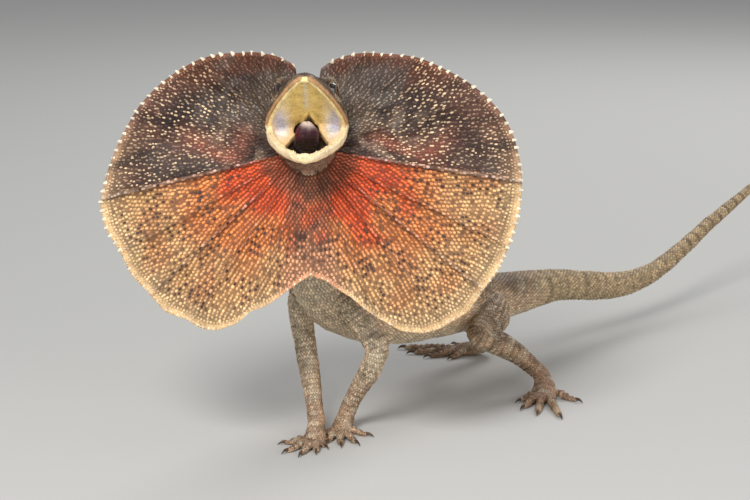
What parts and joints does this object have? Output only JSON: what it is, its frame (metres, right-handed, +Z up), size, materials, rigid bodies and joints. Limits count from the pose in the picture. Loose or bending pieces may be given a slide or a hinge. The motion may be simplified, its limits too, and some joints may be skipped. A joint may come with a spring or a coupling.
{
  "type": "frilled lizard",
  "caption": "Life-size still model of a frilled lizard standing with its frill spread wide and its mouth open, tail raised off the floor.",
  "frame": {"origin": "on the floor under the middle of the overall box", "axes": "+Z up, the head looks along -Y, the body and tail run back towards +X and +Y"},
  "size_m": [0.5498, 0.6308, 0.2432],
  "materials": {
    "hide": "matt, finely scaled",
    "tail_hide": "matt, banded, keeled scales",
    "limb_hide": "matt, mottled, finely scaled",
    "head_hide": "matt, finely scaled",
    "jaw_hide": "satin",
    "frill_dark": "matt, dotted with pale scales",
    "frill_side": "matt, dotted with dark and pale scales",
    "frill_orange": "matt, dotted with dark scales",
    "tongue_flesh": "moist satin",
    "eye_dark": "clear gloss"
  },
  "bodies": {
    "root": {"belly": "hide", "chest": "hide", "cranium": "head_hide", "eye_left": "eye_dark", "eye_right": "eye_dark", "frill_left_low": "frill_orange", "frill_left_side": "frill_side", "frill_left_top": "frill_dark", "frill_right_low": "frill_orange", "frill_right_side": "frill_side", "frill_right_top": "frill_dark", "left_foot": "limb_hide", "left_forearm": "limb_hide", "left_hand": "limb_hide", "left_shin": "limb_hide", "left_thigh": "limb_hide", "left_upper_arm": "limb_hide", "loin": "hide", "lower_jaw": "jaw_hide", "neck_base": "hide", "neck_top": "hide", "right_foot": "limb_hide", "right_forearm": "limb_hide", "right_hand": "limb_hide", "right_shin": "limb_hide", "right_thigh": "limb_hide", "right_upper_arm": "limb_hide", "tail_fourth": "tail_hide", "tail_root": "tail_hide", "tail_second": "tail_hide", "tail_third": "tail_hide", "tail_tip": "tail_hide", "tongue": "tongue_flesh"}
  },
  "joints": []
}
